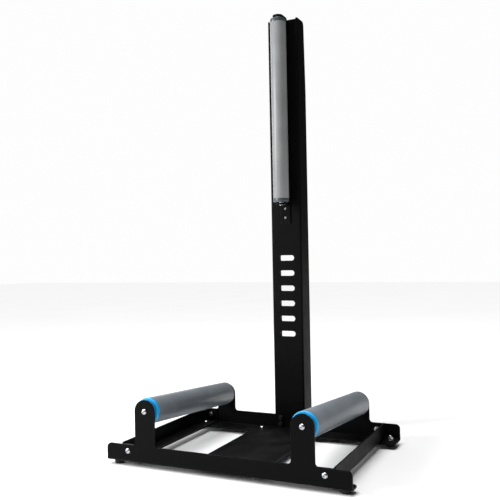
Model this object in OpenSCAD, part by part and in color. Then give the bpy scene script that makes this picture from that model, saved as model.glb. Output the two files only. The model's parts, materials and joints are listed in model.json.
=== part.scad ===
// Wheel dolly: a low bolted sheet-steel frame with two free-turning rollers
// that cradle a wheel, and a mast with an upright roller that it leans on.
// X runs across the frame, Y from the open front to the mast, Z up.
// The origin is on the floor, under the middle of the bounding box.

/* [Frame] */
// Length of each side plate, end to end
plate_l = 494; // [480:2:560]
// Depth over the outer faces of the two side plates
frame_d = 342; // [300:2:380]
// Sheet thickness of plates, bars and mast
sheet = 3; // [2.5:0.5:3.5]
// Height of the plate's underside above the floor
plate_z = 9; // [8:0.5:14]
// Height of the top edge of the plate's low part
plate_top = 42; // [40:1:50]
// Depth of the front plate's bottom flange
front_flange = 30; // [28:1:40]
// Depth of the rear plate's bottom flange
rear_flange = 48; // [40:1:60]
// Outer face of each cross bar, from the middle
bar_x = 216.5; // [212:0.5:222]
// Width of a cross bar's bottom flange
bar_w = 33; // [32:1:44]
// Height of a cross bar's top edge
bar_top = 44; // [42:0.5:48]
// Width of the base plate
base_w = 144; // [120:2:160]

/* [Rollers] */
// Distance of each roller axle from the middle
roller_x = 160; // [154:1:164]
// Height of the axle at the outer face of the front plate
axle_z = 108; // [100:1:125]
// Angle by which the rollers fall towards the mast
tilt = 4.5; // [3:0.5:5]
// Width of an upright of a side plate
upright_w = 44; // [36:1:48]
// Diameter of the roller tube
tube_d = 50; // [48:1:52]
// Wall of the roller tube
tube_wall = 2.8; // [2:0.2:3.2]
// Distance from a plate's outer face to the roller's end
roller_in = 9.5; // [9:0.5:12]
// Width of the coloured ring at each end of a roller
ring_w = 5.5; // [4:0.5:7]

/* [Mast] */
// Width of the mast channel
mast_w = 72; // [60:2:80]
// Depth of the mast channel below its taper
mast_d = 46; // [40:2:60]
// Height of the top of the mast's web
mast_top = 930; // [850:5:1000]
// Height of the lower bracket's upper face
low_bracket_z = 516.5; // [500:0.5:530]
// Diameter of the mast roller tube
mast_tube_d = 35; // [34:1:36]
// Distance from the web's front face to the mast roller's axis
mast_roller_y = 24.7; // [24:0.1:28]
// Number of slots in the lower half of the web
slot_n = 6; // [3:1:6]

/* [Feet] */
// Diameter of a rubber foot
foot_d = 19; // [16:1:22]
// Distance of the feet from the middle
foot_x = 230; // [228:1:232]

/* [Hidden] */
$fn = 64;

t = sheet;
ro = 4;                       // outer bend radius
ri = ro - t;                  // inner bend radius
corner = 9;                   // rounding of plate corners
flute = 7;                    // fillet at the foot of an upright

head_out = 3.58;              // how far an axle screw's head stands out at the front
web_y = frame_d - 2 * t;      // web's front face, from the front plate's outer face
y_f = -(web_y + mast_d - head_out) / 2; // outer face of the front plate
y_r = y_f + frame_d;          // outer face of the rear plate
y_in_f = y_f + t;
y_in_r = y_r - t;
y_web = y_f + web_y;
flange_z = plate_z + t;       // top of the bottom flanges
rear_axle_z = axle_z - frame_d * tan(tilt);
axis_l = frame_d / cos(tilt); // axle line between the plates' outer faces
mid_z = t / 2 * tan(tilt);

screw_x = bar_x - 17.5;       // cross bar screws
screw_z = 30;
fix_x = base_w / 2 - 12;      // base plate screws
bar_fix_x = bar_x - 12.5;     // bar flange screws
fix_front = y_f + 18;
fix_rear = y_r - 24;
foot_front = y_f + 16.5;
foot_rear = y_r - 18;
mast_fix_x = 20;
mast_fix_z = [21.5, 35.5];
axle_d = 10;                  // base roller axle
roller_y = y_web - mast_roller_y; // mast roller's axis
high_bracket_z = mast_top + 1.5; // upper bracket's under face
bracket_r = 11.5;             // round end of a mast bracket
bracket_leg = 44;
taper = 6;                    // how much the mast's flanges narrow at the top
lip = 3;                      // how far the mast's flanges stand above its web
mast_play = 2.7;              // extra gap above the mast roller
m5 = 5; m6 = 6;

black = "#17181a";
grey_pvc = "#8f9498";
dark_cap = "#4a5258";
sky = "#1fa0e0";
zinc = "#c3c6c8";
steel = "#9da0a3";
rubber = "#0d0d0e";

// ---------------------------------------------------------------- helpers

// A square corner minus its inscribed quarter disc. It fills an inside corner
// or, subtracted, rounds an outside one; it reaches 1 mm past both edges.
module corner_bit(r) {
  difference() {
    translate([-1, -1]) square([r + 1, r + 1]);
    translate([r, r]) circle(r);
  }
}

module flip(on, v) {
  if (on) mirror(v) children();
  else children();
}

// L section with a rounded bend: one leg up, one leg along +X.
module l_section(up, along) {
  difference() {
    union() {
      translate([0, ro]) square([t, up - ro]);
      translate([ro, 0]) square([along - ro, t]);
      translate([ro, ro]) circle(ro);
    }
    translate([t, ro]) square([along + up, along + up]);
    translate([ro, t]) square([along + up, along + up]);
    translate([ro, ro]) circle(ri);
  }
}

// Radius of a button head's crown, whose edge is 0.8 mm high.
function dome_r(hd, hh) = (hd * hd / 4 + (hh - 0.8) * (hh - 0.8)) / (2 * (hh - 0.8));

// Button-head screw. Head above z = 0, shank below it, hexagon socket.
module button_screw(d, len, hd, hh, key) {
  difference() {
    union() {
      rotate_extrude() intersection() {
        square([hd / 2, hh]);
        translate([0, hh - dome_r(hd, hh)]) circle(dome_r(hd, hh), $fn = 128);
      }
      translate([0, 0, -len]) cylinder(h = len, d = d);
    }
    translate([0, 0, hh - 2]) cylinder(h = 3, d = key / cos(30), $fn = 6);
  }
}

// Hexagon nut standing on z = 0 with a plain bore and turned corners.
module hex_nut(d, af, h) {
  difference() {
    intersection() {
      cylinder(h = h, d = af / cos(30), $fn = 6);
      rotate_extrude()
        polygon([[0, 0], [af / 2 - 0.1, 0], [af * 0.5775, 0.9],
                 [af * 0.5775, h - 0.9], [af / 2 - 0.1, h], [0, h]]);
    }
    translate([0, 0, -1]) cylinder(h = h + 2, d = d + 0.1);
  }
}

// ---------------------------------------------------------------- side plates

// Face of a side plate, drawn in X and Z. ah is the axle height at this plate.
module plate_face(ah) {
  ur = upright_w / 2;
  difference() {
    union() {
      translate([-plate_l / 2, plate_z + ro]) square([plate_l, plate_top - plate_z - ro]);
      for (s = [-1, 1]) {
        translate([s * roller_x - ur, plate_top - 1]) square([upright_w, ah - plate_top + 1]);
        translate([s * roller_x, ah]) circle(ur, $fn = 96);
        translate([s * roller_x + ur, plate_top]) corner_bit(flute);
        translate([s * roller_x - ur, plate_top]) mirror([1, 0]) corner_bit(flute);
      }
    }
    for (s = [-1, 1]) {
      translate([s * plate_l / 2, plate_top]) flip(s > 0, [1, 0]) mirror([0, 1])
        corner_bit(corner);
      translate([s * roller_x, ah]) circle(d = 7.4);
      translate([s * screw_x, screw_z]) circle(d = 6.6);
    }
  }
}

// Bottom flange of a side plate with its bend, running to +Y from y = 0.
module plate_flange(depth) {
  difference() {
    translate([-plate_l / 2, 0, plate_z]) rotate([90, 0, 90]) linear_extrude(plate_l)
      l_section(ro + 1, depth);
    for (s = [-1, 1])
      translate([s * plate_l / 2, depth, plate_z - 1]) flip(s > 0, [1, 0, 0])
        mirror([0, 1, 0]) linear_extrude(t + 2) corner_bit(corner);
  }
}

module flange_holes(feet_y, fix_y) {
  for (s = [-1, 1]) {
    translate([s * foot_x, feet_y, plate_z - 1]) cylinder(h = t + 2, d = 6.6);
    translate([s * fix_x, fix_y, plate_z - 1]) cylinder(h = t + 2, d = 6.6);
    translate([s * bar_fix_x, fix_y, plate_z - 1]) cylinder(h = t + 2, d = 6.6);
  }
}

module front_side_plate() {
  color(black) difference() {
    union() {
      translate([0, y_in_f, 0]) rotate([90, 0, 0]) linear_extrude(t)
        plate_face(axle_z - mid_z);
      translate([0, y_f, 0]) plate_flange(front_flange);
    }
    flange_holes(foot_front, fix_front);
  }
}

module rear_side_plate() {
  color(black) difference() {
    union() {
      translate([0, y_r, 0]) rotate([90, 0, 0]) linear_extrude(t)
        plate_face(rear_axle_z + mid_z);
      translate([0, y_r, 0]) mirror([0, 1, 0]) plate_flange(rear_flange);
    }
    flange_holes(foot_rear, fix_rear);
    for (s = [-1, 1], z = mast_fix_z)
      translate([s * mast_fix_x, y_r + 1, z]) rotate([90, 0, 0]) cylinder(h = t + 2, d = 6.6);
  }
}

// ---------------------------------------------------------------- bars and base

// Cross bar on the +X side: web outside, bottom flange and end tabs inwards.
module cross_bar() {
  color(black) difference() {
    union() {
      // web and bottom flange
      translate([bar_x, y_in_r - ro, flange_z]) rotate([90, 0, 0])
        linear_extrude(frame_d - 2 * t - 2 * ro) mirror([1, 0]) l_section(bar_top - flange_z, bar_w);
      // end tabs, each with its bend
      for (s = [0, 1])
        translate([bar_x, s == 0 ? y_in_f : y_in_r, flange_z + t + 2.5])
          mirror([1, 0, 0]) flip(s == 1, [0, 1, 0])
            linear_extrude(bar_top - flange_z - t - 4.5) l_section(ro + 1, bar_w - 2);
    }
    for (s = [0, 1]) {
      translate([screw_x, s == 0 ? y_in_f - 1 : y_in_r + 1, screw_z])
        rotate([s == 0 ? -90 : 90, 0, 0]) cylinder(h = t + 2, d = 6.6);
      translate([bar_fix_x, s == 0 ? fix_front : fix_rear, flange_z - 1])
        cylinder(h = t + 2, d = 6.6);
    }
  }
}

module left_cross_bar() mirror([1, 0, 0]) cross_bar();
module right_cross_bar() cross_bar();

module base_plate() {
  y0 = y_in_f + 2;
  y1 = y_web - 2;
  color(black) difference() {
    translate([-base_w / 2, y0, flange_z]) cube([base_w, y1 - y0, t]);
    for (s = [-1, 1]) {
      for (y = [fix_front, fix_rear])
        translate([s * fix_x, y, flange_z - 1]) cylinder(h = t + 2, d = 6.6);
      translate([s * base_w / 2, y0, flange_z - 1]) flip(s > 0, [1, 0, 0])
        linear_extrude(t + 2) corner_bit(corner);
      translate([s * base_w / 2, y1, flange_z - 1]) flip(s > 0, [1, 0, 0])
        mirror([0, 1, 0]) linear_extrude(t + 2) corner_bit(corner);
    }
  }
}

// ---------------------------------------------------------------- mast

// Channel section: web at y = 0, flanges to +Y.
module channel_section() {
  w = mast_w / 2;
  difference() {
    union() {
      translate([-w + ro, 0]) square([mast_w - 2 * ro, mast_d]);
      translate([-w, ro]) square([mast_w, mast_d - ro]);
      for (s = [-1, 1]) translate([s * (w - ro), ro]) circle(ro);
    }
    translate([-w + ro, t]) square([mast_w - 2 * ro, mast_d]);
    translate([-w + t, ro]) square([mast_w - 2 * t, mast_d]);
    for (s = [-1, 1]) translate([s * (w - ro), ro]) circle(ri);
  }
}

module round_slot(w, h) {
  for (s = [-1, 1]) translate([s * (w - h) / 2, 0, 0]) cylinder(h = t + 2, d = h);
  translate([-(w - h) / 2, -h / 2, 0]) cube([w - h, h, t + 2]);
}

module mast_channel() {
  z0 = flange_z + 2;
  w = mast_w / 2;
  color(black) difference() {
    translate([0, y_web, z0]) linear_extrude(mast_top + lip - z0) channel_section();
    // the foot keeps only the flat of the web; the flanges stand on the plate
    for (s = [-1, 1])
      translate([s > 0 ? w - ro - ri : -w - 1, y_web - 1, z0 - 1])
        cube([ro + ri + 1, mast_d + 2, plate_top - z0 + 1]);
    // slots down the lower half of the web
    for (i = [0 : slot_n - 1])
      translate([0, y_web - 1, 225 + i * 34]) rotate([-90, 0, 0]) round_slot(36, 12);
    // the flanges narrow towards the top and end in a rounded rear corner
    translate([-w - 1, y_web + mast_d, mast_top + lip]) rotate([90, 0, 90])
      linear_extrude(mast_w + 2)
        polygon([[0, -160], [-taper, -9], [-taper, 2], [2, 2], [2, -160]]);
    translate([-w - 1, y_web + mast_d - taper, mast_top + lip]) mirror([0, 1, 0])
      mirror([0, 0, 1]) rotate([90, 0, 90]) linear_extrude(mast_w + 2) corner_bit(9);
    translate([-w + ro, y_web - 1, mast_top]) cube([mast_w - 2 * ro, t + 2, lip + 1]);
    for (s = [-1, 1], z = mast_fix_z)
      translate([s * mast_fix_x, y_web - 1, z]) rotate([-90, 0, 0]) cylinder(h = t + 2, d = 6.6);
    for (z = bracket_holes())
      translate([0, y_web - 1, z]) rotate([-90, 0, 0]) cylinder(h = t + 2, d = 5.5);
  }
}

function bracket_holes() = [high_bracket_z + t - 22, high_bracket_z + t - 36,
                            low_bracket_z - t - 8, low_bracket_z - t - 28];

// Bracket with its round shelf at z = 0 (upper face) and its leg hanging down.
module bracket(holes) {
  difference() {
    union() {
      // leg and bend
      translate([-bracket_r, y_web, 0]) mirror([0, 1, 0]) mirror([0, 0, 1])
        rotate([90, 0, 90]) linear_extrude(2 * bracket_r) l_section(bracket_leg, mast_roller_y);
      translate([0, roller_y, -t]) cylinder(h = t, r = bracket_r);
    }
    translate([0, roller_y, -t - 1]) cylinder(h = t + 2, d = 5.4);
    for (z = holes)
      translate([0, y_web + 1, z]) rotate([90, 0, 0]) cylinder(h = t + 2, d = 5.1);
  }
}

module mast_upper_bracket() color(black)
  translate([0, 0, high_bracket_z + t]) bracket([-22, -36]);

module mast_lower_bracket() color(black)
  translate([0, 0, low_bracket_z]) bracket([-t - 8, -t - 28]);

module mast_bracket_screws() color(zinc)
  for (z = bracket_holes())
    translate([0, y_web + t, z]) rotate([-90, 0, 0]) button_screw(m5, 6, 9.5, 2.7, 3);

// ---------------------------------------------------------------- rollers

// Puts children on the axle line of a base roller. Local z is the distance
// from the front plate's outer face, towards the mast.
module on_axle(x) translate([x, y_f, axle_z]) rotate([-90 - tilt, 0, 0]) children();

// Repeats children at both ends of an axle line of length l.
module both_ends(l) {
  children();
  translate([0, 0, l]) mirror([0, 0, 1]) children();
}

function bore_d() = tube_d - 2 * tube_wall;

module roller_tube() color(grey_pvc)
  translate([0, 0, roller_in + ring_w]) difference() {
    cylinder(h = axis_l - 2 * roller_in - 2 * ring_w, d = tube_d, $fn = 96);
    translate([0, 0, -1]) cylinder(h = axis_l, d = bore_d(), $fn = 96);
  }

// End cap: ring flush with the tube, plug inside it, seat for the bearing.
module end_cap(c = sky) color(c) translate([0, 0, roller_in]) rotate_extrude($fn = 96)
  polygon([
    [15.05, 2.2], [15.05, 11.2], [12.6, 11.2], [12.6, 12.6], [17, 12.6],
    [17, 17.5], [bore_d() / 2 - 1.4, 17.5], [bore_d() / 2 - 0.02, 16], [bore_d() / 2 - 0.02, ring_w],
    [tube_d / 2, ring_w], [tube_d / 2, 1.2], [tube_d / 2 - 1.2, 0], [20.6, 0],
    [20.2, 1.6], [17.4, 1.6], [17, 0.6], [15.8, 0.6]]);

// Deep-groove bearing between radius r1 and r2, width b, balls of radius rb.
module inner_race(r1, r2, b, rb) rotate_extrude() difference() {
  translate([r1 + 0.02, 0]) square([(r2 - r1) * 0.27, b]);
  translate([(r1 + r2) / 2, b / 2]) circle(rb + 0.05);
}
module outer_race(r1, r2, b, rb) rotate_extrude() difference() {
  translate([r2 - 0.02 - (r2 - r1) * 0.27, 0]) square([(r2 - r1) * 0.27, b]);
  translate([(r1 + r2) / 2, b / 2]) circle(rb + 0.05);
}
module balls(r1, r2, b, rb, n)
  for (i = [0 : n - 1]) rotate([0, 0, 360 / n * i])
    translate([(r1 + r2) / 2, 0, b / 2]) sphere(rb, $fn = 32);

bearing_in = roller_in + 2.2;  // base bearing's outer side, along the axle line

module roller_axle() color(steel) difference() {
  translate([0, 0, t + 0.45]) cylinder(h = axis_l - 2 * t - 0.9, d = axle_d);
  both_ends(axis_l) translate([0, 0, t]) cylinder(h = 20, d = m6 + 0.1);
}

module axle_spacer() color(steel) translate([0, 0, t + 0.75]) difference() {
  cylinder(h = bearing_in - t - 0.75, d = 15);
  translate([0, 0, -1]) cylinder(h = 20, d = axle_d + 0.04);
}

// Shield over the balls, held in the outer race.
module bearing_seal() color("#2b2f33") translate([0, 0, bearing_in + 0.3]) difference() {
  cylinder(h = 0.6, r = 12.2);
  translate([0, 0, -1]) cylinder(h = 3, r = 8.05);
}

module left_roller_tube() on_axle(-roller_x) roller_tube();
module right_roller_tube() on_axle(roller_x) roller_tube();
module left_front_end_cap() on_axle(-roller_x) end_cap();
module right_front_end_cap() on_axle(roller_x) end_cap();
module rear_cap() translate([0, 0, axis_l]) mirror([0, 0, 1]) end_cap(grey_pvc);
module left_rear_end_cap() on_axle(-roller_x) rear_cap();
module right_rear_end_cap() on_axle(roller_x) rear_cap();
module base_inner_races() color(steel) both_ends(axis_l)
  translate([0, 0, bearing_in]) inner_race(5, 15, 9, 2.7);
module base_outer_races() color(steel) both_ends(axis_l)
  translate([0, 0, bearing_in]) outer_race(5, 15, 9, 2.7);
module base_balls() color(zinc) both_ends(axis_l)
  translate([0, 0, bearing_in]) balls(5, 15, 9, 2.7, 8);
module left_bearing_inner_rings() on_axle(-roller_x) base_inner_races();
module right_bearing_inner_rings() on_axle(roller_x) base_inner_races();
module left_bearing_outer_rings() on_axle(-roller_x) base_outer_races();
module right_bearing_outer_rings() on_axle(roller_x) base_outer_races();
module left_bearing_balls() on_axle(-roller_x) base_balls();
module right_bearing_balls() on_axle(roller_x) base_balls();
module left_bearing_seals() on_axle(-roller_x) both_ends(axis_l) bearing_seal();
module right_bearing_seals() on_axle(roller_x) both_ends(axis_l) bearing_seal();
module left_roller_axle() on_axle(-roller_x) roller_axle();
module right_roller_axle() on_axle(roller_x) roller_axle();
module left_axle_spacers() on_axle(-roller_x) both_ends(axis_l) axle_spacer();
module right_axle_spacers() on_axle(roller_x) both_ends(axis_l) axle_spacer();

module roller_axle_screws() color(zinc) for (x = [-roller_x, roller_x])
  on_axle(x) both_ends(axis_l) translate([0, 0, -0.45]) rotate([180, 0, 0])
    button_screw(m6, 20, 10.5, 3.3, 4);

// Mast roller: local z from the lower bracket's upper face.
mast_l = high_bracket_z - low_bracket_z;
mast_rl = mast_l - mast_play;  // the roller sits low, on the shorter spacer
mast_bore = mast_tube_d - 5;
module on_mast() translate([0, roller_y, low_bracket_z]) children();

module mast_roller_tube() color(grey_pvc) on_mast() translate([0, 0, 10.5]) difference() {
  cylinder(h = mast_rl - 21, d = mast_tube_d, $fn = 96);
  translate([0, 0, -1]) cylinder(h = mast_l, d = mast_bore, $fn = 96);
}

module mast_end_cap() color(dark_cap) translate([0, 0, 2]) rotate_extrude($fn = 96)
  polygon([
    [11.05, 2], [11.05, 9.2], [9, 9.2], [9, 10.4], [12.5, 10.4], [12.5, 20],
    [mast_bore / 2 - 1, 20], [mast_bore / 2 - 0.02, 19], [mast_bore / 2 - 0.02, 8.5],
    [mast_tube_d / 2, 8.5], [mast_tube_d / 2, 2.4], [mast_tube_d / 2 - 0.7, 0.8],
    [mast_tube_d / 2 - 2.2, 0], [12.2, 0], [11.6, 0.8]]);

module mast_lower_end_cap() on_mast() mast_end_cap();
module mast_upper_end_cap() on_mast() translate([0, 0, mast_rl]) mirror([0, 0, 1]) mast_end_cap();
module mast_bearing_inner_rings() color(steel) on_mast() both_ends(mast_rl)
  translate([0, 0, 4]) inner_race(4, 11, 7, 2);
module mast_bearing_outer_rings() color(steel) on_mast() both_ends(mast_rl)
  translate([0, 0, 4]) outer_race(4, 11, 7, 2);
module mast_bearing_balls() color(zinc) on_mast() both_ends(mast_rl)
  translate([0, 0, 4]) balls(4, 11, 7, 2, 7);
module mast_roller_axle() color(steel) on_mast() difference() {
  cylinder(h = mast_l, d = 8);
  both_ends(mast_l) translate([0, 0, -1]) cylinder(h = 18, d = m5 + 0.1);
}
module mast_axle_spacers() color(steel) on_mast() difference() {
  union() {
    cylinder(h = 4, d = 11);
    translate([0, 0, mast_rl - 4]) cylinder(h = mast_play + 4, d = 11);
  }
  translate([0, 0, -1]) cylinder(h = mast_l + 2, d = 8.04);
}
module mast_axle_screws() color(zinc) on_mast() {
  translate([0, 0, -t]) rotate([180, 0, 0]) button_screw(m5, 16, 9.5, 2.7, 3);
  translate([0, 0, mast_l + t]) button_screw(m5, 16, 9.5, 2.7, 3);
}

// ---------------------------------------------------------------- fasteners

module cross_bar_screws() color(zinc) for (x = [-screw_x, screw_x]) {
  translate([x, y_f, screw_z]) rotate([90, 0, 0]) button_screw(m6, 14, 10.5, 3.3, 4);
  translate([x, y_r, screw_z]) rotate([-90, 0, 0]) button_screw(m6, 14, 10.5, 3.3, 4);
}
module cross_bar_nuts() color(zinc) for (x = [-screw_x, screw_x]) {
  translate([x, y_f + 2 * t, screw_z]) rotate([-90, 0, 0]) hex_nut(m6, 10, 5);
  translate([x, y_r - 2 * t, screw_z]) rotate([90, 0, 0]) hex_nut(m6, 10, 5);
}
module down_screws(x) for (s = [-x, x], y = [fix_front, fix_rear])
  translate([s, y, flange_z + t]) button_screw(m6, 12, 10.5, 3.3, 4);
module down_nuts(x) for (s = [-x, x], y = [fix_front, fix_rear])
  translate([s, y, plate_z]) mirror([0, 0, 1]) hex_nut(m6, 10, 5);
module bar_flange_screws() color(zinc) down_screws(bar_fix_x);
module bar_flange_nuts() color(zinc) down_nuts(bar_fix_x);
module base_plate_screws() color(zinc) down_screws(fix_x);
module base_plate_nuts() color(zinc) down_nuts(fix_x);
module mast_foot_screws() color("#232427") for (s = [-1, 1], z = mast_fix_z)
  translate([s * mast_fix_x, y_r, z]) rotate([-90, 0, 0]) button_screw(m6, 13, 10.5, 3.3, 4);
module mast_foot_nuts() color("#232427") for (s = [-1, 1], z = mast_fix_z)
  translate([s * mast_fix_x, y_web, z]) rotate([90, 0, 0]) hex_nut(m6, 10, 5);

// ---------------------------------------------------------------- feet

module at_feet() for (x = [-foot_x, foot_x], y = [foot_front, foot_rear])
  translate([x, y, 0]) children();

module foot_rubbers() color(rubber) at_feet() rotate_extrude() polygon([
  [0, 0], [foot_d / 2 - 1.4, 0], [foot_d / 2 - 0.4, 0.8], [foot_d / 2, plate_z - 1.2],
  [foot_d / 2 - 0.6, plate_z], [m6 / 2 + 0.05, plate_z], [m6 / 2 + 0.05, 3.5], [0, 3.5]]);
module foot_studs() color(zinc) at_feet() translate([0, 0, 3.5]) rotate_extrude() polygon([
  [0, 0], [m6 / 2, 0], [m6 / 2, plate_z + 9.2], [m6 / 2 - 0.8, plate_z + 10], [0, plate_z + 10]]);
module foot_washers() color(zinc) at_feet() translate([0, 0, flange_z]) difference() {
  cylinder(h = 1.6, d = 12);
  translate([0, 0, -1]) cylinder(h = 4, d = 6.4);
}
module foot_nuts() color(zinc) at_feet() translate([0, 0, flange_z + 1.6]) hex_nut(m6, 10, 5);

// ---------------------------------------------------------------- assembly

front_side_plate();
rear_side_plate();
left_cross_bar();
right_cross_bar();
base_plate();
mast_channel();
mast_upper_bracket();
mast_lower_bracket();
left_roller_axle();
right_roller_axle();
mast_roller_axle();
left_axle_spacers();
right_axle_spacers();
mast_axle_spacers();
left_bearing_inner_rings();
right_bearing_inner_rings();
mast_bearing_inner_rings();
roller_axle_screws();
mast_axle_screws();
cross_bar_screws();
cross_bar_nuts();
bar_flange_screws();
bar_flange_nuts();
base_plate_screws();
base_plate_nuts();
mast_foot_screws();
mast_foot_nuts();
mast_bracket_screws();
foot_rubbers();
foot_studs();
foot_nuts();
foot_washers();
left_roller_tube();
left_front_end_cap();
left_rear_end_cap();
left_bearing_outer_rings();
left_bearing_balls();
left_bearing_seals();
right_roller_tube();
right_front_end_cap();
right_rear_end_cap();
right_bearing_outer_rings();
right_bearing_balls();
right_bearing_seals();
mast_roller_tube();
mast_upper_end_cap();
mast_lower_end_cap();
mast_bearing_outer_rings();
mast_bearing_balls();
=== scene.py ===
import bmesh
import bpy
import json
import math
from mathutils import Matrix, Vector


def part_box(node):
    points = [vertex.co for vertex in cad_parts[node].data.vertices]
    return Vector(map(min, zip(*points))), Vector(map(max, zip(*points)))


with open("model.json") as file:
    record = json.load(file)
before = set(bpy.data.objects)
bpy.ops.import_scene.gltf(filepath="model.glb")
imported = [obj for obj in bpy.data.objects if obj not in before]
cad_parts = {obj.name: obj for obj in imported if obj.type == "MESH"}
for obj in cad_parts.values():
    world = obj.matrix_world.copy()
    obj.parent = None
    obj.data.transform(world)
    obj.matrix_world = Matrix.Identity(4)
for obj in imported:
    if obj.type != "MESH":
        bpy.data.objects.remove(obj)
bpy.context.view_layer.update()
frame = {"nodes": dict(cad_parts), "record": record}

nodes = frame["nodes"]
scene = bpy.context.scene

# ------------------------------------------------------------------ node tools


class Mat:
    """A node material on the Principled shader, in object coordinates (metres)."""

    def __init__(self, name):
        self.mat = bpy.data.materials.new(name)
        self.mat.use_nodes = True
        self.nt = self.mat.node_tree
        self.nt.nodes.clear()
        self.out = self.add("ShaderNodeOutputMaterial")
        self.bsdf = self.add("ShaderNodeBsdfPrincipled")
        self.nt.links.new(self.bsdf.outputs[0], self.out.inputs[0])
        self.co = self.add("ShaderNodeTexCoord").outputs["Object"]

    def add(self, kind, **props):
        n = self.nt.nodes.new(kind)
        for k, v in props.items():
            setattr(n, k, v)
        return n

    def put(self, socket, value):
        if hasattr(value, "is_output"):
            self.nt.links.new(value, socket)
        else:
            socket.default_value = value

    def set(self, **values):
        names = {
            "color": "Base Color", "rough": "Roughness", "metal": "Metallic", "spec": "Specular IOR Level",
            "coat": "Coat Weight", "coat_rough": "Coat Roughness", "normal": "Normal", "ior": "IOR",
            "sheen": "Sheen Weight", "sheen_rough": "Sheen Roughness", "aniso": "Anisotropic",
        }
        for k, v in values.items():
            self.put(self.bsdf.inputs[names[k]], v)
        return self

    def stretched(self, sx, sy, sz, rot=(0, 0, 0), at=(0, 0, 0)):
        """Object coordinates moved by at, turned by rot and scaled."""
        m0 = self.add("ShaderNodeMapping")
        self.put(m0.inputs["Vector"], self.co)
        m0.vector_type = "POINT"
        m0.inputs["Location"].default_value = at
        m1 = self.add("ShaderNodeMapping")
        self.put(m1.inputs["Vector"], m0.outputs[0])
        m1.inputs["Rotation"].default_value = rot
        m1.inputs["Scale"].default_value = (sx, sy, sz)
        return m1.outputs[0]

    def noise(self, scale, detail=3.0, rough=0.5, vec=None, distort=0.0):
        n = self.add("ShaderNodeTexNoise")
        self.put(n.inputs["Vector"], vec or self.co)
        n.inputs["Scale"].default_value = scale
        n.inputs["Detail"].default_value = detail
        n.inputs["Roughness"].default_value = rough
        n.inputs["Distortion"].default_value = distort
        return n.outputs["Fac"]

    def cells(self, scale, feature="F1", vec=None, random=1.0):
        n = self.add("ShaderNodeTexVoronoi", feature=feature)
        self.put(n.inputs["Vector"], vec or self.co)
        n.inputs["Scale"].default_value = scale
        n.inputs["Randomness"].default_value = random
        return n.outputs["Distance"]

    def ramp(self, fac, lo, hi, a=0.0, b=1.0):
        n = self.add("ShaderNodeMapRange")
        n.interpolation_type = "SMOOTHSTEP"
        self.put(n.inputs["Value"], fac)
        for k, v in (("From Min", lo), ("From Max", hi), ("To Min", a), ("To Max", b)):
            n.inputs[k].default_value = v
        return n.outputs["Result"]

    def math(self, op, a, b=0.0, clamp=False):
        n = self.add("ShaderNodeMath", operation=op, use_clamp=clamp)
        self.put(n.inputs[0], a)
        self.put(n.inputs[1], b)
        return n.outputs[0]

    def mix(self, fac, a, b):
        n = self.add("ShaderNodeMix", data_type="RGBA")
        self.put(n.inputs["Factor"], fac)
        for s, v in (("A", a), ("B", b)):
            socket = [i for i in n.inputs if i.name == s and i.type == "RGBA"][0]
            if hasattr(v, "is_output"):
                self.put(socket, v)
            else:
                socket.default_value = (*v, 1.0)
        return [o for o in n.outputs if o.type == "RGBA"][0]

    def bump(self, height, distance, strength=1.0, under=None):
        n = self.add("ShaderNodeBump")
        self.put(n.inputs["Height"], height)
        n.inputs["Distance"].default_value = distance
        n.inputs["Strength"].default_value = strength
        if under is not None:
            self.put(n.inputs["Normal"], under)
        return n.outputs[0]

    def edges(self, radius):
        """1 on the object's edges, falling to 0 within radius of them."""
        b = self.add("ShaderNodeBevel", samples=4)
        b.inputs["Radius"].default_value = radius
        g = self.add("ShaderNodeNewGeometry")
        dot = self.add("ShaderNodeVectorMath", operation="DOT_PRODUCT")
        self.put(dot.inputs[0], b.outputs[0])
        self.put(dot.inputs[1], g.outputs["Normal"])
        return self.ramp(dot.outputs["Value"], 0.995, 0.86)

    def upward(self):
        g = self.add("ShaderNodeTexCoord")
        s = self.add("ShaderNodeSeparateXYZ")
        self.put(s.inputs[0], g.outputs["Normal"])
        return s.outputs["Z"]


# ------------------------------------------------------------------ materials


def powder_coat():
    """Black powder coat: orange-peel waves, fine sparkle of grain, dust on top faces, rubbed edges."""
    m = Mat("powder_coat_black")
    fine = m.noise(1500, 2.0, 0.6)
    grain = m.cells(760)
    patch = m.noise(14, 4.0, 0.55)
    dust = m.math("MULTIPLY", m.ramp(m.upward(), 0.75, 1.0), m.ramp(m.noise(33, 5.0, 0.65), 0.42, 0.75))
    base = m.mix(m.ramp(grain, 0.12, 0.62), (0.0005, 0.0005, 0.0006), (0.0040, 0.0041, 0.0045))
    base = m.mix(m.math("MULTIPLY", dust, 0.045), base, (0.13, 0.128, 0.125))
    worn = m.math("MULTIPLY", m.edges(0.0011), m.ramp(m.noise(60, 3.0, 0.6), 0.35, 0.62))
    base = m.mix(m.math("MULTIPLY", worn, 0.30), base, (0.12, 0.12, 0.123))
    rough = m.math("ADD", m.ramp(patch, 0.3, 0.7, 0.36, 0.45), m.ramp(fine, 0.3, 0.7, -0.05, 0.07))
    rough = m.math("ADD", rough, m.math("MULTIPLY", dust, 0.16))
    height = m.math("ADD", m.math("MULTIPLY", fine, 0.5), m.math("MULTIPLY", grain, 0.6))
    waves = m.bump(m.noise(110, 2.0, 0.4), 0.00022, 0.35)
    m.set(color=base, rough=rough, spec=0.045, normal=m.bump(height, 0.00017, 0.9, waves))
    return m.mat


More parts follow.
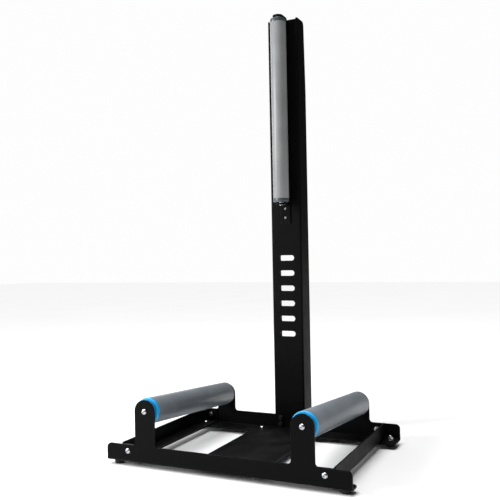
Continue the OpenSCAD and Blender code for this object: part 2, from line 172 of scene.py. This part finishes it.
def tube_plastic(name, light, dark, centre, axis_rot, scuffed):
    """Extruded grey tube: faint lines along it, a soft haze and light scuffs around it."""
    m = Mat(name)
    along = m.stretched(420, 420, 9, rot=axis_rot, at=centre)
    lines = m.noise(1.0, 2.0, 0.5, vec=along)
    haze = m.noise(18, 4.0, 0.6)
    around = m.stretched(26, 26, 700, rot=axis_rot, at=centre)
    scuff = m.ramp(m.noise(1.0, 3.0, 0.7, vec=around), 0.62, 0.78)
    where = m.ramp(m.noise(22, 2.0, 0.5), 0.47, 0.66)
    scuff = m.math("MULTIPLY", scuff, where)
    base = m.mix(m.ramp(haze, 0.3, 0.7), dark, light)
    base = m.mix(m.math("MULTIPLY", m.ramp(lines, 0.35, 0.7), 0.10), base, tuple(0.6 * c for c in dark))
    base = m.mix(m.math("MULTIPLY", scuff, scuffed), base, (0.07, 0.072, 0.075))
    rough = m.math("ADD", m.ramp(haze, 0.3, 0.7, 0.36, 0.46), m.math("MULTIPLY", scuff, 0.15))
    micro = m.noise(2600, 2.0, 0.5)
    m.set(color=base, rough=rough, spec=0.45,
          normal=m.bump(lines, 0.00005, 0.35, m.bump(micro, 0.00003, 0.4)))
    return m.mat


def moulded(name, light, dark, rough_lo, rough_hi, spec=0.5):
    """Injection-moulded plastic with a fine spark-eroded grain and a painted highlight along every edge."""
    m = Mat(name)
    tone = m.noise(60, 3.0, 0.5)
    base = m.mix(m.ramp(tone, 0.3, 0.7), dark, light)
    # painted highlight: every edge is lightened to stand in for the light the cap rims catch
    rim_highlight = m.math("MULTIPLY", m.edges(0.0008), 0.30)
    base = m.mix(rim_highlight, base, tuple(min(1.0, 1.35 * c + 0.03) for c in light))
    grain = m.noise(2400, 2.0, 0.55)
    m.set(color=base, rough=m.ramp(m.noise(240, 3.0, 0.6), 0.3, 0.7, rough_lo, rough_hi), spec=spec,
          normal=m.bump(grain, 0.00005, 0.6))
    return m.mat


def metal(name, light, dark, rough_lo, rough_hi, grain=1800, tint=None):
    """Plated or drawn steel: fine grain, soft blotches, a few scratches."""
    m = Mat(name)
    blotch = m.noise(230, 4.0, 0.6)
    base = m.mix(m.ramp(blotch, 0.3, 0.7), dark, light)
    if tint:
        base = m.mix(m.math("MULTIPLY", m.ramp(m.noise(120, 2.0, 0.5), 0.5, 0.75), 0.35), base, tint)
    scratch = m.ramp(m.noise(1.0, 1.0, 0.5, vec=m.stretched(3000, 260, 260, rot=(0.3, 0.7, 0.5))), 0.62, 0.7)
    rough = m.math("ADD", m.ramp(m.noise(grain, 2.0, 0.6), 0.3, 0.7, rough_lo, rough_hi), m.math("MULTIPLY", scratch, 0.14))
    m.set(color=base, metal=1.0, rough=rough,
          normal=m.bump(m.noise(grain, 2.0, 0.5), 0.00003, 0.5, m.bump(scratch, 0.00002, 0.4)))
    return m.mat


def rubber(name, shade, grain=1300):
    m = Mat(name)
    tone = m.noise(140, 3.0, 0.6)
    dust = m.math("MULTIPLY", m.ramp(m.noise(300, 4.0, 0.65), 0.5, 0.8), 0.25)
    base = m.mix(m.ramp(tone, 0.3, 0.7), tuple(0.6 * c for c in shade), shade)
    base = m.mix(dust, base, (0.09, 0.088, 0.085))
    m.set(color=base, rough=m.ramp(tone, 0.3, 0.7, 0.68, 0.86), spec=0.3,
          normal=m.bump(m.noise(grain, 3.0, 0.6), 0.00010, 0.7))
    return m.mat


TILT = math.radians(4.5)
LIGHT_GREY = (0.228, 0.254, 0.280)
DARK_GREY = (0.186, 0.208, 0.230)
coat = powder_coat()
base_tube = tube_plastic("grey_pvc_base", LIGHT_GREY, DARK_GREY, (0, 0, 0), (math.pi / 2 + TILT, 0, 0), 0.35)
mast_tube = tube_plastic("grey_pvc_mast", (0.262, 0.270, 0.271), (0.222, 0.230, 0.232), (0, 0, 0), (0, 0, 0), 0.2)
blue = moulded("sky_blue_plastic", (0.018, 0.460, 0.95), (0.014, 0.400, 0.86), 0.34, 0.48)
grey_cap = moulded("grey_moulded_plastic", (0.200, 0.216, 0.232), (0.165, 0.180, 0.194), 0.38, 0.52)
dark_cap = moulded("dark_grey_plastic", (0.060, 0.074, 0.084), (0.046, 0.057, 0.066), 0.30, 0.44)
zinc = metal("zinc_plate", (0.60, 0.61, 0.62), (0.44, 0.45, 0.47), 0.19, 0.33, tint=(0.60, 0.60, 0.55))
# painted shade: a darker, rougher copy of the zinc for the nuts that sit under the plates
zinc_painted_shade = metal("zinc_plate_painted_shade", (0.22, 0.22, 0.23), (0.13, 0.13, 0.135), 0.40, 0.55)
black_oxide = metal("black_oxide", (0.055, 0.056, 0.060), (0.035, 0.036, 0.038), 0.34, 0.48)
drawn = metal("drawn_steel", (0.62, 0.63, 0.64), (0.50, 0.51, 0.52), 0.28, 0.42)
bearing = metal("bearing_steel", (0.70, 0.70, 0.71), (0.60, 0.60, 0.61), 0.12, 0.24)
seal = rubber("seal_rubber", (0.030, 0.031, 0.034), 2200)
foot = rubber("foot_rubber", (0.017, 0.017, 0.018))

BY_SLOT = {
    "powder_coat": coat, "grey_pvc": base_tube, "blue_plastic": blue, "dark_plastic": dark_cap,
    "grey_plastic": grey_cap,
    "zinc_plate": zinc, "black_oxide": black_oxide, "axle_steel": drawn, "bearing_steel": bearing,
    "seal_rubber": seal, "foot_rubber": foot,
}

# The mast tube is a lighter, neutral grey; the nuts under the flanges get a darker, rougher zinc as painted shade
# where they sit under the plates.
BY_NODE = {"mast_roller_tube": mast_tube, "base_plate_nuts": zinc_painted_shade, "bar_flange_nuts": zinc_painted_shade}

# ------------------------------------------------------------------ CAD nodes

slot_of = {s["node"]: s["material_slot"] for s in frame["record"]["subparts"]}
EDGE = {"powder_coat": 0.00045, "grey_pvc": 0.0003, "blue_plastic": 0.0003, "dark_plastic": 0.0003, "grey_plastic": 0.0003,
        "zinc_plate": 0.0002, "black_oxide": 0.0002, "axle_steel": 0.0002, "foot_rubber": 0.0003}


def dress(node):
    o = nodes[node]
    slot = slot_of[node]
    mat = BY_NODE.get(node, BY_SLOT[slot])
    if not o.material_slots:
        o.data.materials.append(None)
    for s in o.material_slots:
        s.material = mat
    if slot in EDGE:
        w = o.modifiers.new("weld", "WELD")
        w.merge_threshold = 0.00001
        b = o.modifiers.new("bevel", "BEVEL")
        b.width = EDGE[slot]
        b.segments = 2
        b.limit_method = "ANGLE"
        b.angle_limit = math.radians(38)
        b.use_clamp_overlap = True
        b.harden_normals = True


for n in nodes:
    dress(n)

# ------------------------------------------------------------------ stage and light

bm = bmesh.new()
bmesh.ops.create_grid(bm, x_segments=1, y_segments=1, size=9.0)
floor_mesh = bpy.data.meshes.new("floor")
bm.to_mesh(floor_mesh)
bm.free()
floor = bpy.data.objects.new("floor", floor_mesh)
scene.collection.objects.link(floor)
fm = Mat("pale_floor")
fm.set(color=fm.mix(fm.ramp(fm.noise(2.2, 3.0, 0.5), 0.3, 0.7), (0.945, 0.945, 0.945), (0.96, 0.96, 0.96)), rough=0.75, spec=0.1)
floor_mesh.materials.append(fm.mat)


def area(name, at, target, w, h, power, colour=(1, 1, 1)):
    d = bpy.data.lights.new(name, "AREA")
    d.shape = "RECTANGLE"
    d.size, d.size_y = w, h
    d.energy = power
    d.color = colour
    o = bpy.data.objects.new(name, d)
    o.location = at
    o.rotation_euler = (Vector(target) - Vector(at)).to_track_quat("-Z", "Y").to_euler()
    scene.collection.objects.link(o)
    return o


def sun(name, direction, strength, angle):
    d = bpy.data.lights.new(name, "SUN")
    d.energy = strength
    d.angle = math.radians(angle)
    o = bpy.data.objects.new(name, d)
    o.rotation_euler = Vector(direction).to_track_quat("-Z", "Y").to_euler()
    scene.collection.objects.link(o)
    return o


sun("overhead", (0.16, 0.10, -1.0), 3.1, 50)
area("left_box", (-1.7, -1.25, 0.95), (0, 0.1, 0.5), 0.55, 1.3, 56)
area("back_strip", (-1.5, 1.6, 1.2), (0, 0.1, 0.5), 0.7, 1.3, 8)

world = bpy.data.worlds.new("studio")
scene.world = world
world.use_nodes = True
wt = world.node_tree
wt.nodes.clear()
w_out = wt.nodes.new("ShaderNodeOutputWorld")
lit = wt.nodes.new("ShaderNodeBackground")
lit.inputs["Color"].default_value = (1, 1, 1, 1)
lit.inputs["Strength"].default_value = 0.05
seen = wt.nodes.new("ShaderNodeBackground")
seen.inputs["Color"].default_value = (1, 1, 1, 1)
seen.inputs["Strength"].default_value = 0.985
path = wt.nodes.new("ShaderNodeLightPath")
blend = wt.nodes.new("ShaderNodeMixShader")
wt.links.new(path.outputs["Is Camera Ray"], blend.inputs[0])
wt.links.new(lit.outputs[0], blend.inputs[1])
wt.links.new(seen.outputs[0], blend.inputs[2])
wt.links.new(blend.outputs[0], w_out.inputs[0])

scene.view_settings.view_transform = "Standard"
scene.view_settings.look = "None"
scene.view_settings.exposure = 0.0

# ------------------------------------------------------------------ camera

AZ, EL, ROLL = math.radians(25.33), math.radians(-0.72), math.radians(-1.05)
ahead = Vector((-math.sin(AZ) * math.cos(EL), math.cos(AZ) * math.cos(EL), -math.sin(EL)))
right = Vector((math.cos(AZ), math.sin(AZ), 0.0))
up = right.cross(ahead)
r2 = right * math.cos(ROLL) + up * math.sin(ROLL)
u2 = up * math.cos(ROLL) - right * math.sin(ROLL)
cam = bpy.data.cameras.new("camera")
cam.sensor_fit = "HORIZONTAL"
cam.sensor_width = 36.0
cam.lens = 49.17
cam.clip_start = 0.05
cam.clip_end = 60.0
camera = bpy.data.objects.new("camera", cam)
camera.matrix_world = Matrix((
    (r2.x, u2.x, -ahead.x, 0.58282),
    (r2.y, u2.y, -ahead.y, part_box("front_side_plate")[0].y - 1.08667),
    (r2.z, u2.z, -ahead.z, 0.39509),
    (0, 0, 0, 1)))
scene.collection.objects.link(camera)
scene.camera = camera
